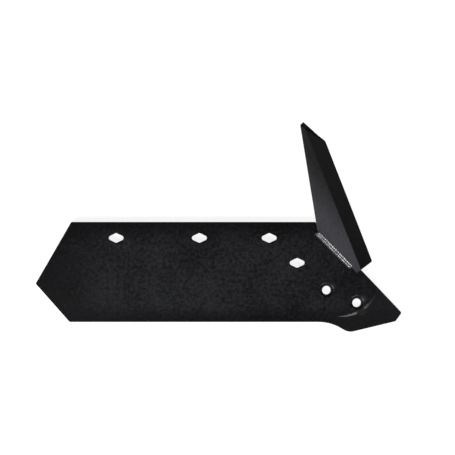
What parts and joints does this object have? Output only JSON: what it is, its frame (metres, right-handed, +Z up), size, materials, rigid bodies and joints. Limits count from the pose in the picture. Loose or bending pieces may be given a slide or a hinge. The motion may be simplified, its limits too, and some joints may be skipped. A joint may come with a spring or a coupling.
{
  "type": "plough share",
  "caption": "Right-hand plough share: a flat pointed blade with a forged toe, bolt slots and countersunk bolt holes, and a leaning knife welded along its landside edge.",
  "frame": {"origin": "where the axis of the main bolt hole, the countersunk one nearer the wing, meets the flat underside", "axes": "+X along the cutting edge from the wing to the toe, +Y across the blade from the cutting edge to the bolt edge, +Z up through the blade's face; it lies on its flat underside at z = 0"},
  "size_m": [0.549, 0.3022, 0.1792],
  "materials": {
    "blade_paint": "satin",
    "knife_paint": "satin",
    "weld_paint": "semi-gloss"
  },
  "bodies": {
    "root": {"share_plate": "blade_paint", "landside_knife": "knife_paint", "weld_bead": "weld_paint"}
  },
  "joints": []
}
